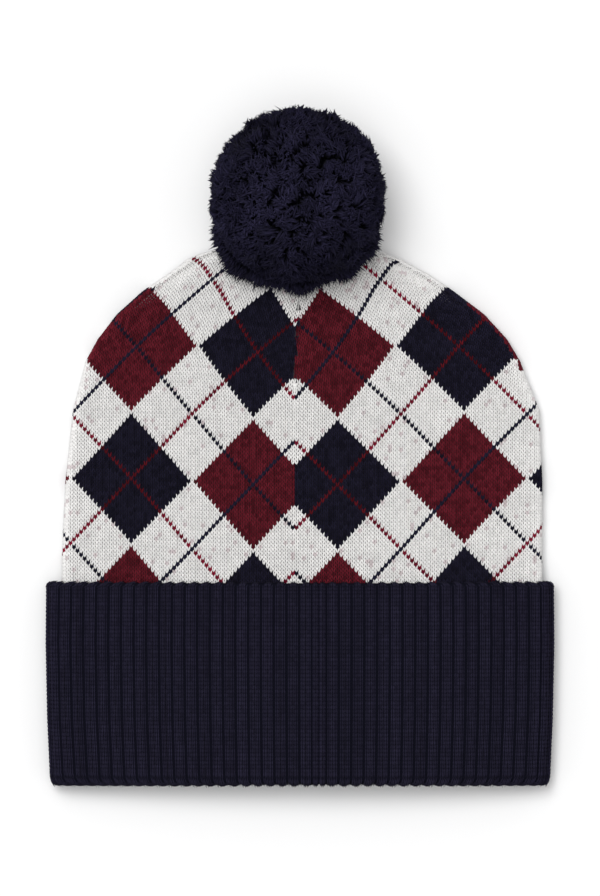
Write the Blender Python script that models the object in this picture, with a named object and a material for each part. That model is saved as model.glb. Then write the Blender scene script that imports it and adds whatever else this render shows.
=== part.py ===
"""A knitted beanie laid flat with its back up, for Blender 4.5.

The crown is a hollow two-layer jacquard shell that is gathered to a small hole at its tip.
The cuff is one ribbed band, sewn edge to edge to the crown and turned up over the seam.
The pompom lies on the same surface as the hat, half over the gathered tip, and a plain yarn
tie holds it through the hole.

Metres, +Z up out of the visible back, +Y from the rim to the pompom. The origin is under the
middle of the laid hat, on the surface that it lies on.
"""

import math
import random

import bmesh
import bpy
import numpy as np
from mathutils import Matrix, Vector

# Clearances between pieces that are sewn or lie against each other
CLEARANCE = 0.0004
SEAM_GAP = 0.0004
SEAT_CLEARANCE = 0.0006

# The cuff, as it lies
CUFF_WIDTH = 0.225
CUFF_HEIGHT = 0.0898
CUFF_THICKNESS = 0.0245
CUFF_SIDE_THICKNESS = 0.0162
CUFF_WALL = 0.0032
RIB_COUNT = 84
RIB_RELIEF = 0.0011
CUFF_SEAM_X = 0.0084

# The crown, measured from the cuff's upper edge to the gathered tip
CROWN_WIDTH = 0.2122
CROWN_LENGTH = 0.152
CROWN_THICKNESS = 0.0210
CROWN_WALL = 0.0028
JOIN_DEPTH = 0.014
CROWN_SEAM_X = -0.0026
CROWN_SEAM_DEPTH = 0.0009
PLEAT_COUNT = 12
PLEAT_DEPTH = 0.0007
TIP_HOLE_RADIUS = 0.0026

# The pompom and its tie
POMPOM_DIAMETER = 0.0796
POMPOM_BEYOND_TIP = 0.019
POMPOM_X = -0.001
POMPOM_SQUASH = 0.0032
LOCK_LENGTH = 0.0052
LOCK_GROOVE = 0.0013
LOCK_JUMBLE = 0.0016
SHORT_LOCK_SHARE = 0.5
TIE_REACH = 0.012
KNOT_LENGTH = 0.0034

# Share of its own height that a rounded side fold takes across the width
SIDE_ROUND = 0.52
# Spans of a plain section along its top, each side fold and its underside
TOP_SPANS = 22
SIDE_SPANS = 8
FLOOR_SPANS = 14
# A rib has a narrow groove and a broad back: places across one rib, and how deep each lies
RIB_PROFILE = ((0.0, 1.0), (0.24, 0.0), (0.76, 0.0))
# The two ribs at the cuff's seam are cut down to this share of a whole one
SEAM_RIB_SHARE = 0.55

# Widths of the cuff from its rim to its upper edge, as shares of the named sizes
CUFF_COLUMNS = ("height", "width", "thickness")
CUFF_ROWS = (
    (0.00, 0.982, 0.96),
    (0.33, 0.994, 1.00),
    (0.70, 1.000, 1.00),
    (1.00, 0.998, 0.97),
)

# Sections of the crown from the cuff's edge to the tip, as shares of the named sizes.
# rise and droop share the crown's length, width and lean its width, top, side and low its
# thickness. seam shares the back seam's offset, crease its depth, and pleat the pleats' depth.
CROWN_COLUMNS = ("rise", "droop", "width", "lean", "top", "side", "low", "seam", "crease", "pleat")
CROWN_ROWS = (
    (0.070, 0.000, 1.000, 0.004, 0.95, 0.52, 0.000, 1.00, 1.0, 0.0),
    (0.300, 0.005, 0.993, 0.008, 1.00, 0.45, 0.000, 1.00, 1.0, 0.0),
    (0.520, 0.018, 0.971, 0.013, 1.00, 0.45, 0.000, 0.90, 1.0, 0.0),
    (0.695, 0.050, 0.903, 0.006, 0.99, 0.45, 0.000, 0.60, 1.2, 0.0),
    (0.776, 0.070, 0.853, 0.005, 0.97, 0.45, 0.000, 0.50, 1.6, 0.3),
    (0.854, 0.075, 0.765, 0.001, 0.95, 0.46, 0.000, 0.40, 2.6, 0.6),
    (0.911, 0.065, 0.648, -0.004, 0.93, 0.48, 0.000, 0.25, 3.4, 0.8),
    (0.945, 0.050, 0.544, -0.004, 0.91, 0.51, 0.000, 0.20, 3.0, 1.0),
    (0.968, 0.026, 0.434, -0.013, 0.89, 0.56, 0.010, 0.40, 2.0, 1.0),
    (0.983, 0.018, 0.345, -0.016, 0.87, 0.62, 0.030, 0.60, 1.0, 0.8),
    (0.989, 0.010, 0.210, -0.008, 0.85, 0.70, 0.050, 0.40, 1.0, 0.6),
    (0.992, 0.004, 0.115, -0.005, 0.82, 0.76, 0.070, 0.40, 0.0, 0.3),
)

# Places along the laid hat
TOTAL_LENGTH = CUFF_HEIGHT + CROWN_LENGTH + POMPOM_BEYOND_TIP + POMPOM_DIAMETER / 2
RIM_Y = -TOTAL_LENGTH / 2
CUFF_TOP_Y = RIM_Y + CUFF_HEIGHT
JOIN_Y = CUFF_TOP_Y - JOIN_DEPTH
TIP_Y = CUFF_TOP_Y + CROWN_LENGTH
# The turned band is two walls deep, with the seam gap between its legs
LEG_INSET = CUFF_WALL + SEAM_GAP
FOLD_RADIUS = (2 * CUFF_WALL + SEAM_GAP) / 2
# The gathered tip is in the middle of the crown's last section, and the knot just fits inside
LAST_ROW = dict(zip(CROWN_COLUMNS, CROWN_ROWS[-1]))
TIP_X = LAST_ROW["lean"] * CROWN_WIDTH
TIP_HEIGHT = (LAST_ROW["top"] + LAST_ROW["low"]) / 2 * CROWN_THICKNESS
TIP_OUTER_RADIUS = TIP_HOLE_RADIUS + CROWN_WALL
LAST_ROW_ROOM = (LAST_ROW["top"] - LAST_ROW["low"]) / 2 * CROWN_THICKNESS - CROWN_WALL
KNOT_RADIUS = LAST_ROW_ROOM - PLEAT_DEPTH - CLEARANCE

YARNS = {
    "crown": ((0.72, 0.71, 0.70), 0.9),
    "cuff": ((0.018, 0.018, 0.045), 0.9),
    "pompom": ((0.012, 0.010, 0.028), 0.95),
    "pompom_tie": ((0.018, 0.018, 0.045), 0.9),
}


def clear_scene():
    """Remove every object that the file opened with."""
    for thing in list(bpy.data.objects):
        bpy.data.objects.remove(thing, do_unlink=True)


def yarn_material(name):
    """One plain Principled finish for a piece, from the yarn table."""
    colour, roughness = YARNS[name]
    material = bpy.data.materials.new(name + "_yarn")
    material.use_nodes = True
    shader = material.node_tree.nodes["Principled BSDF"]
    shader.inputs["Base Color"].default_value = (*colour, 1.0)
    shader.inputs["Roughness"].default_value = roughness
    shader.inputs["Metallic"].default_value = 0.0
    return material


def add_object(name, bm, helper=False):
    """Turn a bmesh into a named object; a helper is a cutter that isn't part of the hat."""
    mesh = bpy.data.meshes.new(name)
    bm.to_mesh(mesh)
    bm.free()
    thing = bpy.data.objects.new(name, mesh)
    bpy.context.collection.objects.link(thing)
    if helper:
        thing.hide_render = True
        thing.display_type = "WIRE"
    else:
        mesh.materials.append(yarn_material(name))
        mesh.shade_smooth()
        mesh.set_sharp_from_angle(angle=math.radians(50))
    return thing


def between(rows, columns, place, column):
    """Read one column of a table, in a straight line between the rows on each side of a place."""
    at = columns.index(column)
    return float(np.interp(place, [row[0] for row in rows], [row[at] for row in rows]))


def laid_section(half_width, low, high, dome, centre_x, seam_x=0.0):
    """Closed section of a tube that lies flat, from its back seam on the top towards +X.

    The top is a shallow dome, the underside is flat on the surface, and half ovals join them.
    seam_x is the seam's place across, from the middle of the section.
    """
    side_high = high - dome
    side_half = (side_high - low) / 2
    side_middle = (side_high + low) / 2
    side_reach = min(SIDE_ROUND * 2 * side_half, half_width * 0.9)
    flat = half_width - side_reach
    half_top = TOP_SPANS // 2
    points = []
    for step in range(half_top):
        x = seam_x + (flat - seam_x) * step / half_top
        points.append((x, high - dome * (x / flat) ** 2))
    for step in range(SIDE_SPANS):
        angle = math.pi * (0.5 - step / SIDE_SPANS)
        points.append((flat + side_reach * math.cos(angle), side_middle + side_half * math.sin(angle)))
    for step in range(FLOOR_SPANS):
        points.append((flat * (1 - 2 * step / FLOOR_SPANS), low))
    for step in range(SIDE_SPANS):
        angle = math.pi * (-0.5 + step / SIDE_SPANS)
        points.append((-flat - side_reach * math.cos(angle), side_middle + side_half * math.sin(angle)))
    for step in range(half_top):
        x = -flat + (seam_x + flat) * step / half_top
        points.append((x, high - dome * (x / flat) ** 2))
    return [(x + centre_x, z) for x, z in points]


def rib_places():
    """Places and depths of every rib point, as shares of the way round from the cuff's seam."""
    widths = [SEAM_RIB_SHARE] + [1.0] * (RIB_COUNT - 2) + [SEAM_RIB_SHARE]
    total = sum(widths)
    places = []
    start = 0.0
    for width in widths:
        for across, depth in RIB_PROFILE:
            places.append(((start + across * width) / total, depth))
        start += width
    return places


def ribbed_section(outline, inner, seam_x):
    """Points of a ribbed section: rib backs on the outline and grooves on the inner outline."""
    outer = np.array(outline + outline[:1])
    deep = np.array(inner + inner[:1])
    lengths = np.concatenate(([0.0], np.cumsum(np.linalg.norm(np.diff(outer, axis=0), axis=1))))
    round_length = lengths[-1]
    top_spans = TOP_SPANS // 2
    seam_at = float(np.interp(seam_x, outer[:top_spans, 0], lengths[:top_spans]))
    points = []
    for share, depth in rib_places():
        place = (seam_at + share * round_length) % round_length
        back = [np.interp(place, lengths, outer[:, axis]) for axis in (0, 1)]
        groove = [np.interp(place, lengths, deep[:, axis]) for axis in (0, 1)]
        points.append(tuple(b + (g - b) * depth for b, g in zip(back, groove)))
    return points


def zip_band(bm, near, far):
    """Join two rings that run the same way round but have different numbers of corners."""
    nearest = min(range(len(far)), key=lambda number: (far[number].co - near[0].co).length)
    far = far[nearest:] + far[:nearest]
    near_at = 0
    far_at = 0
    while near_at < len(near) or far_at < len(far):
        near_corner = near[near_at % len(near)]
        far_corner = far[far_at % len(far)]
        near_next = near[(near_at + 1) % len(near)]
        far_next = far[(far_at + 1) % len(far)]
        near_step = (near_next.co - far_corner.co).length
        far_step = (far_next.co - near_corner.co).length
        if far_at == len(far) or (near_at < len(near) and near_step < far_step):
            bm.faces.new((near_corner, near_next, far_corner))
            near_at += 1
        else:
            bm.faces.new((near_corner, far_next, far_corner))
            far_at += 1


def skin_band(bm, near, far):
    """Join two rings of corners, corner to corner where they have as many as each other."""
    if len(near) != len(far):
        zip_band(bm, near, far)
        return
    for number, (near_corner, far_corner) in enumerate(zip(near, far)):
        follows = (number + 1) % len(near)
        bm.faces.new((near_corner, near[follows], far[follows], far_corner))


def skin_rings(rings, closed):
    """Skin a wall over rings of points. A closed wall joins its last ring to its first."""
    bm = bmesh.new()
    loops = [[bm.verts.new(point) for point in ring] for ring in rings]
    for near, far in zip(loops, loops[1:]):
        skin_band(bm, near, far)
    if closed:
        skin_band(bm, loops[-1], loops[0])
    else:
        bm.faces.new(loops[0])
        bm.faces.new(loops[-1])
    bmesh.ops.recalc_face_normals(bm, faces=bm.faces)
    if bm.calc_volume(signed=True) < 0:
        bmesh.ops.reverse_faces(bm, faces=bm.faces)
    return bm


def cuff_section(y, inset):
    """Plain section of the cuff at a height along the hat, moved in from its outer face."""
    place = (y - RIM_Y) / CUFF_HEIGHT
    half_width = between(CUFF_ROWS, CUFF_COLUMNS, place, "width") * CUFF_WIDTH / 2
    high = between(CUFF_ROWS, CUFF_COLUMNS, place, "thickness") * CUFF_THICKNESS
    dome = CUFF_THICKNESS - CUFF_SIDE_THICKNESS
    return laid_section(half_width - inset, inset, high - inset, dome, 0.0)


def plain_ring(y, inset):
    """One smooth ring of the cuff's hidden faces."""
    return [(x, y, z) for x, z in cuff_section(y, inset)]


def ribbed_ring(y, inset, rim_turn):
    """One ribbed ring of the cuff. rim_turn is 0 on the face and 1 at the rim itself.

    A groove is cut towards the wall's middle: into the face, or up from the rim at the fold.
    """
    sunk = RIB_RELIEF * (1 - rim_turn)
    lifted = RIB_RELIEF * rim_turn
    points = ribbed_section(cuff_section(y, inset), cuff_section(y, inset + sunk), CUFF_SEAM_X)
    depths = [depth for _, depth in rib_places()]
    return [(x, y + lifted * depth, z) for (x, z), depth in zip(points, depths)]


def make_cuff():
    """The turned-up ribbed band: outer leg, fold at the rim, inner leg up to the crown's edge."""
    edge_round = CUFF_WALL / 3
    eighth = math.radians(45)
    fold_y = RIM_Y + FOLD_RADIUS
    middle = [RIM_Y + height * CUFF_HEIGHT for height, _, _ in CUFF_ROWS[1:-1]]
    rings = [
        ribbed_ring(CUFF_TOP_Y, edge_round, 0.0),
        ribbed_ring(CUFF_TOP_Y - edge_round, 0.0, 0.0),
    ]
    rings += [ribbed_ring(y, 0.0, 0.0) for y in reversed(middle)]
    for turn in (0, 1, 2):
        rim_turn = math.sin(turn * eighth)
        inset = FOLD_RADIUS * (1 - math.cos(turn * eighth))
        rings.append(ribbed_ring(fold_y - FOLD_RADIUS * rim_turn, inset, rim_turn))
    for turn in (3, 4):
        inset = FOLD_RADIUS * (1 - math.cos(turn * eighth))
        rings.append(plain_ring(fold_y - FOLD_RADIUS * math.sin(turn * eighth), inset))
    rings += [plain_ring(y, 2 * FOLD_RADIUS) for y in middle]
    rings.append(plain_ring(JOIN_Y - SEAM_GAP, 2 * FOLD_RADIUS))
    rings.append(plain_ring(JOIN_Y - SEAM_GAP, LEG_INSET))
    rings += [plain_ring(y, LEG_INSET) for y in reversed(middle)]
    rings.append(plain_ring(fold_y, LEG_INSET))
    rings.append(plain_ring(fold_y, CUFF_WALL))
    rings += [plain_ring(y, CUFF_WALL) for y in middle]
    rings.append(plain_ring(CUFF_TOP_Y, CUFF_WALL))
    return add_object("cuff", skin_rings(rings, closed=True))


def side_point(number):
    """Half width and place along the hat of one crown section's side fold, or of the tip."""
    if number == len(CROWN_ROWS):
        return Vector((TIP_OUTER_RADIUS, TIP_Y))
    value = dict(zip(CROWN_COLUMNS, CROWN_ROWS[number]))
    along = CUFF_TOP_Y + (value["rise"] - value["droop"]) * CROWN_LENGTH
    return Vector((value["width"] * CROWN_WIDTH / 2, along))


def side_facing(number):
    """Which way the crown's side fold faces at a section, seen from above."""
    run = side_point(number + 1) - side_point(max(number - 1, 0))
    return Vector((run.y, -run.x)).normalized()


def crown_ring(number, inset):
    """One ring of the crown from a row of its table, moved in from the outer face."""
    value = dict(zip(CROWN_COLUMNS, CROWN_ROWS[number]))
    moved_in = inset * side_facing(number)
    centre_x = value["lean"] * CROWN_WIDTH
    half_width = value["width"] * CROWN_WIDTH / 2 - moved_in.x
    low = value["low"] * CROWN_THICKNESS + inset
    high = value["top"] * CROWN_THICKNESS - inset
    dome = (value["top"] - value["side"]) * CROWN_THICKNESS
    seam_x = value["seam"] * CROWN_SEAM_X - centre_x
    section = laid_section(half_width, low, high, dome, centre_x, seam_x)
    middle_y = CUFF_TOP_Y + value["rise"] * CROWN_LENGTH - moved_in.y
    droop = value["droop"] * CROWN_LENGTH
    pleat_depth = PLEAT_DEPTH * value["pleat"]
    points = []
    for corner, (x, z) in enumerate(section):
        aside = (x - centre_x) / half_width
        wave = 1 - math.cos(PLEAT_COUNT * math.tau * corner / len(section))
        sag = pleat_depth * wave if z > (low + high) / 2 else 0.0
        if corner == 0:
            sag += CROWN_SEAM_DEPTH * value["crease"]
        points.append((x, middle_y - droop * aside * aside, z - sag))
    return points


def tip_ring(radius, y):
    """One round ring of the crown's gathered tip, with as many points as a section."""
    count = TOP_SPANS + 2 * SIDE_SPANS + FLOOR_SPANS
    turns = [math.tau * number / count for number in range(count)]
    return [(TIP_X + radius * math.sin(turn), y, TIP_HEIGHT + radius * math.cos(turn)) for turn in turns]


def crown_in_cuff(inset):
    """Rings of the crown inside the turned cuff: its sewn edge, and where it leaves the cuff."""
    sewn = [(x, JOIN_Y, z) for x, z in cuff_section(JOIN_Y, LEG_INSET + inset)]
    leaving_y = CUFF_TOP_Y + SEAM_GAP
    first_row = dict(zip(CROWN_COLUMNS, CROWN_ROWS[0]))
    centre_x = first_row["lean"] * CROWN_WIDTH
    seam_x = first_row["seam"] * CROWN_SEAM_X - centre_x
    room = between(CUFF_ROWS, CUFF_COLUMNS, 1.0, "thickness") * CUFF_THICKNESS - LEG_INSET
    dome = CUFF_THICKNESS - CUFF_SIDE_THICKNESS
    half_width = CROWN_WIDTH / 2 - inset
    section = laid_section(half_width, LEG_INSET + inset, room - inset, dome, centre_x, seam_x)
    return [sewn, [(x, leaving_y, z) for x, z in section]]


def crown_faces(inset):
    """Rings of one face of the crown's wall, from its sewn edge to the last section."""
    return crown_in_cuff(inset) + [crown_ring(number, inset) for number in range(len(CROWN_ROWS))]


def make_crown():
    """The hollow jacquard shell, open at its sewn edge and at the small hole in its tip."""
    outer = crown_faces(0.0) + [tip_ring(TIP_OUTER_RADIUS, TIP_Y)]
    hole = [tip_ring(TIP_HOLE_RADIUS, TIP_Y - CROWN_WALL), tip_ring(TIP_HOLE_RADIUS, TIP_Y)]
    inner = crown_faces(CROWN_WALL) + hole
    return add_object("crown", skin_rings(outer + inner[::-1], closed=True))


def lock_ball(centre, radius):
    """A ball of yarn locks: each face of an icosphere is drawn in and pushed out as one lock.

    The locks that would be caught between the ball and the crown are pressed flat.
    """
    core = radius - LOCK_LENGTH
    chance = random.Random(11)
    bm = bmesh.new()
    bmesh.ops.create_icosphere(bm, subdivisions=3, radius=core)
    for corner in bm.verts:
        nudge = Vector([chance.uniform(-LOCK_JUMBLE, LOCK_JUMBLE) for _ in range(3)])
        corner.co = centre + (corner.co + nudge).normalized() * core
    for face in list(bm.faces):
        length = LOCK_LENGTH * chance.uniform(SHORT_LOCK_SHARE, 1.0)
        middle = face.calc_center_median()
        pressed = middle.y < TIP_Y + LOCK_LENGTH and middle.z < CROWN_THICKNESS
        if not pressed:
            bmesh.ops.inset_individual(bm, faces=[face], thickness=LOCK_GROOVE, depth=length)
    return bm


def carried_down(ring):
    """A ring of the crown with everything under its widest point carried below the surface."""
    _, _, widest_z = max(ring)
    return [(x, y, z if z >= widest_z else -SEAT_CLEARANCE) for x, y, z in ring]


def crown_seat_cutter():
    """The crown's upper form, grown by the clearance and carried down through the surface.

    It presses its seat into the pompom and leaves no yarn of the pompom under the crown.
    """
    shoulders = range(len(CROWN_ROWS) // 3, len(CROWN_ROWS))
    rings = [crown_ring(number, -SEAT_CLEARANCE) for number in shoulders]
    rings.append(tip_ring(TIP_OUTER_RADIUS + SEAT_CLEARANCE, TIP_Y + SEAT_CLEARANCE))
    carried = [carried_down(ring) for ring in rings]
    return add_object("crown_seat_cutter", skin_rings(carried, closed=False), helper=True)


def tie_cylinder(bm, radius, start_y, end_y, sides=12):
    """A plain round stretch of the tie along the hat, in the middle of the tip's hole."""
    turned = Matrix.Rotation(math.radians(90), 4, "X")
    place = Matrix.Translation((TIP_X, (start_y + end_y) / 2, TIP_HEIGHT))
    bmesh.ops.create_cone(
        bm,
        cap_ends=True,
        segments=sides,
        radius1=radius,
        radius2=radius,
        depth=end_y - start_y,
        matrix=place @ turned,
    )


def cut_by(thing, cutter, name):
    """Cut one object by another with a Boolean that stays on the object."""
    cut = thing.modifiers.new(name, "BOOLEAN")
    cut.operation = "DIFFERENCE"
    cut.solver = "EXACT"
    cut.object = cutter


def make_pompom():
    """The yarn pompom, flattened where it rests and seated over the crown's gathered tip."""
    radius = POMPOM_DIAMETER / 2
    centre = Vector((POMPOM_X, TIP_Y + POMPOM_BEYOND_TIP, radius - POMPOM_SQUASH))
    pompom = add_object("pompom", lock_ball(centre, radius))

    floor = bmesh.new()
    bmesh.ops.create_cube(floor, size=2 * POMPOM_DIAMETER)
    bmesh.ops.translate(floor, verts=floor.verts, vec=(centre.x, centre.y, -POMPOM_DIAMETER))
    bore = bmesh.new()
    tie_end = TIP_Y + TIE_REACH + CLEARANCE
    tie_cylinder(bore, TIP_HOLE_RADIUS, TIP_Y - TIE_REACH, tie_end)
    cut_by(pompom, add_object("floor_cutter", floor, helper=True), "rests_on_surface")
    cut_by(pompom, crown_seat_cutter(), "seat_on_crown")
    cut_by(pompom, add_object("tie_bore_cutter", bore, helper=True), "tie_bore")
    return pompom


def make_tie():
    """The yarn tie: a knot inside the crown and a strand through the hole into the pompom."""
    strand_radius = TIP_HOLE_RADIUS - CLEARANCE
    knot_end = CUFF_TOP_Y + LAST_ROW["rise"] * CROWN_LENGTH - CROWN_WALL - CLEARANCE
    bm = bmesh.new()
    tie_cylinder(bm, KNOT_RADIUS, knot_end - KNOT_LENGTH, knot_end)
    front = max(bm.faces, key=lambda face: face.calc_center_median().y)
    bmesh.ops.inset_individual(bm, faces=[front], thickness=KNOT_RADIUS - strand_radius)
    moved = bmesh.ops.extrude_face_region(bm, geom=[front])
    corners = [item for item in moved["geom"] if isinstance(item, bmesh.types.BMVert)]
    bmesh.ops.delete(bm, geom=[front], context="FACES_ONLY")
    bmesh.ops.translate(bm, verts=corners, vec=(0.0, TIP_Y + TIE_REACH - knot_end, 0.0))
    bmesh.ops.recalc_face_normals(bm, faces=bm.faces)
    return add_object("pompom_tie", bm)


def make_beanie():
    """Build the four pieces of the hat."""
    clear_scene()
    make_crown()
    make_cuff()
    make_pompom()
    make_tie()


make_beanie()
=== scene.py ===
# %% [markdown]
# # A knitted pompom beanie, laid flat with its back up
#
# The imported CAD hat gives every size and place. This script dresses it: each stitch of the argyle
# crown and of the ribbed cuff is a small piece of yarn, and the pompom is a ball of plush tufts.
#
# Metres throughout, +Y from the cuff's rim to the pompom, +Z up out of the visible back.

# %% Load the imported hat
import math

import bmesh
import bpy
import numpy as np
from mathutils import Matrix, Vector
from mathutils.bvhtree import BVHTree
from mathutils.kdtree import KDTree


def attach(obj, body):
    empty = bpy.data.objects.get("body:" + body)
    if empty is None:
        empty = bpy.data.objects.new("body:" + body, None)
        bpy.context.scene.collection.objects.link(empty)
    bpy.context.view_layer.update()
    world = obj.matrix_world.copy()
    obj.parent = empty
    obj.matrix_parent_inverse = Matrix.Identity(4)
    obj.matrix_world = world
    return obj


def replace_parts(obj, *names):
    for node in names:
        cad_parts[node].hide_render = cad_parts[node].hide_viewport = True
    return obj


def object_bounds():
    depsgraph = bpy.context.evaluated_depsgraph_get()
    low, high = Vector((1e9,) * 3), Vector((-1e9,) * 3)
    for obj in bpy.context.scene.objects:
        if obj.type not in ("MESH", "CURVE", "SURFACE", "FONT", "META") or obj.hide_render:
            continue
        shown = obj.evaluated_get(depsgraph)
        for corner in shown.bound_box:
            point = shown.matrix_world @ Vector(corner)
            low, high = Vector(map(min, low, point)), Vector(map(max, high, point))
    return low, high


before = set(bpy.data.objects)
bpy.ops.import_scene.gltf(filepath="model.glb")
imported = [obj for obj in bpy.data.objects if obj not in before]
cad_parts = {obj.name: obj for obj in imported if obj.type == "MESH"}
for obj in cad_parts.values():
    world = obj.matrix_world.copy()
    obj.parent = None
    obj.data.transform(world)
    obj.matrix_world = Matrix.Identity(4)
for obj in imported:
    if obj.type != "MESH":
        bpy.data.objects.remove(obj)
CAD_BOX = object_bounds()
print("CAD box:", CAD_BOX)

# %% [markdown]
# ## Camera
#
# The photograph looks straight down on the hat. A long lens from far above keeps the pompom, which
# stands higher than the cuff, from looking too large. One pixel of the photograph is 0.4425 mm of
# hat, so the picture's height gives the lens.

# %% Camera straight above the hat
PIXEL = 0.0004425
PICTURE_WIDTH = 600
PICTURE_HEIGHT = 896
# Pixel of the photograph that lies over the hat's origin
ORIGIN_PIXEL_X = 300.0
ORIGIN_PIXEL_Y = 445.5
CAMERA_DISTANCE = 3.6
SHARP_HEIGHT = 0.010
SENSOR_HEIGHT = 24.0
FARTHEST_SEEN = 20.0


def hat_x(pixel_x):
    """Place across the hat, in metres, of a pixel column of the photograph."""
    return (pixel_x - ORIGIN_PIXEL_X) * PIXEL


def hat_y(pixel_y):
    """Place along the hat, in metres, of a pixel row of the photograph."""
    return (ORIGIN_PIXEL_Y - pixel_y) * PIXEL


def pixel_column(x):
    """Pixel column of the photograph of a place across the hat."""
    return x / PIXEL + ORIGIN_PIXEL_X


def pixel_row(y):
    """Pixel row of the photograph of a place along the hat."""
    return ORIGIN_PIXEL_Y - y / PIXEL


lens_data = bpy.data.cameras.new("camera")
lens_data.sensor_fit = "VERTICAL"
lens_data.sensor_height = SENSOR_HEIGHT
lens_data.lens = SENSOR_HEIGHT * CAMERA_DISTANCE / (PICTURE_HEIGHT * PIXEL)
lens_data.clip_end = FARTHEST_SEEN
camera = bpy.data.objects.new("camera", lens_data)
camera_height = CAMERA_DISTANCE + SHARP_HEIGHT
camera.location = (hat_x(PICTURE_WIDTH / 2), hat_y(PICTURE_HEIGHT / 2), camera_height)
bpy.context.collection.objects.link(camera)
bpy.context.scene.camera = camera
print("lens:", round(lens_data.lens, 1), "mm")

# %% [markdown]
# ## Light and floor
#
# The photograph has a white sweep that is lit until it is plain white, and a soft shadow under the
# cuff. So the light is a broad panel high up beyond the pompom and to its left, a weaker one
# overhead, and a pale world that fills the shadows.

# %% Floor, panels and world
FLOOR_SIZE = 6.0
FLOOR_GRAIN = 3.0
# Each panel's place, width in metres and strength in watts
PANELS = {
    "key_panel": ((-0.75, 1.1, 3.2), 1.6, 57.0),
    "overhead_panel": ((-0.3, 0.1, 3.6), 2.4, 30.0),
}
WORLD_STRENGTH = 0.60

for panel_name, (panel_place, panel_width, panel_watts) in PANELS.items():
    panel_data = bpy.data.lights.new(panel_name, "AREA")
    panel_data.size = panel_width
    panel_data.energy = panel_watts
    panel = bpy.data.objects.new(panel_name, panel_data)
    panel.location = panel_place
    panel.rotation_euler = (-Vector(panel_place)).to_track_quat("-Z", "Y").to_euler()
    bpy.context.collection.objects.link(panel)

world = bpy.data.worlds.new("studio")
world.use_nodes = True
backdrop = world.node_tree.nodes["Background"]
backdrop.inputs["Color"].default_value = (1.0, 1.0, 1.0, 1.0)
backdrop.inputs["Strength"].default_value = WORLD_STRENGTH
bpy.context.scene.world = world
bpy.context.scene.view_settings.view_transform = "Standard"
bpy.context.scene.view_settings.look = "None"

floor_form = bmesh.new()
bmesh.ops.create_grid(floor_form, x_segments=1, y_segments=1, size=FLOOR_SIZE / 2)
floor_mesh = bpy.data.meshes.new("floor")
floor_form.to_mesh(floor_mesh)
floor_form.free()
floor = bpy.data.objects.new("floor", floor_mesh)
bpy.context.collection.objects.link(floor)
print("panels:", len(PANELS))

# %% [markdown]
# ## Writing materials as sums
#
# A small class wraps a node's output, so that a material reads as arithmetic. Numbers go through
# Math nodes and colours through Mix nodes, because a Math node would turn a colour grey.


# %% A wrapped socket and a paint box
class Flow:
    """One output socket, with the operators that the yarns need."""

    def __init__(self, paint, socket):
        self.paint = paint
        self.socket = socket

    def with_number(self, operation, first, second):
        return self.paint.node("ShaderNodeMath", {"operation": operation}, {0: first, 1: second})

    def __add__(self, other):
        return self.with_number("ADD", self, other)

    __radd__ = __add__

    def __mul__(self, other):
        return self.with_number("MULTIPLY", self, other)

    __rmul__ = __mul__


class Paint:
    """The nodes of one material."""

    def __init__(self, name):
        self.material = bpy.data.materials.new(name)
        self.material.use_nodes = True
        self.tree = self.material.node_tree
        self.shader = self.tree.nodes["Principled BSDF"]

    def node(self, kind, settings, values, output=0):
        """Add a node, set its settings, fill its sockets, and hand back one output."""
        made = self.tree.nodes.new(kind)
        for setting, value in settings.items():
            setattr(made, setting, value)
        for socket, value in values.items():
            if isinstance(value, Flow):
                self.tree.links.new(value.socket, made.inputs[socket])
            else:
                made.inputs[socket].default_value = value
        return Flow(self, made.outputs[output])

    def object_place(self):
        return self.node("ShaderNodeTexCoord", {}, {}, "Object")

    def noise(self, scale, detail=2.0):
        values = {"Vector": self.object_place(), "Scale": scale, "Detail": detail}
        return self.node("ShaderNodeTexNoise", {}, values, "Fac")

    def tint(self, name):
        """A colour that is stored on the mesh, stitch by stitch."""
        return self.node("ShaderNodeAttribute", {"attribute_name": name}, {}, "Color")

    def shaded(self, colour, level):
        """A colour made darker or lighter by a level round 1."""
        grey = self.node("ShaderNodeCombineColor", {}, {"Red": level, "Green": level, "Blue": level})
        settings = {"data_type": "RGBA", "blend_type": "MULTIPLY"}
        return self.node("ShaderNodeMix", settings, {0: 1.0, 6: colour, 7: grey}, 2)

    def bump(self, height, strength, distance):
        values = {"Height": height, "Strength": strength, "Distance": distance}
        return self.node("ShaderNodeBump", {}, values)

    def feed(self, socket, value):
        """Give the shader a link, or a number that is the same all over."""
        if isinstance(value, Flow):
            self.tree.links.new(value.socket, self.shader.inputs[socket])
        else:
            self.shader.inputs[socket].default_value = value


# %% [markdown]
# ## Yarn
#
# Wool is matt and hairy: it has no clear highlight, its colour wanders a little from one stitch to
# the next, and fine fibres break up its surface. Each stitch carries its own colour, and noise on
# the object's coordinates adds the fibres.


# %% Yarn finishes
# The mesh attribute that holds each stitch's colour
TINT_NAME = "yarn_tint"
FIBRE_DETAIL = 3.0
# How many times coarser than the fibres the soft patches of colour are
PATCH_COARSENESS = 25
PATCH_DETAIL = 1.0
# How far the fibres stand out, in metres
FIBRE_HEIGHT = 0.0004
INNER_FIBRE_HEIGHT = 0.0005
# Scale of the fibres in the cloth that shows only between the stitches
INNER_FIBRES = 1500.0


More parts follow.
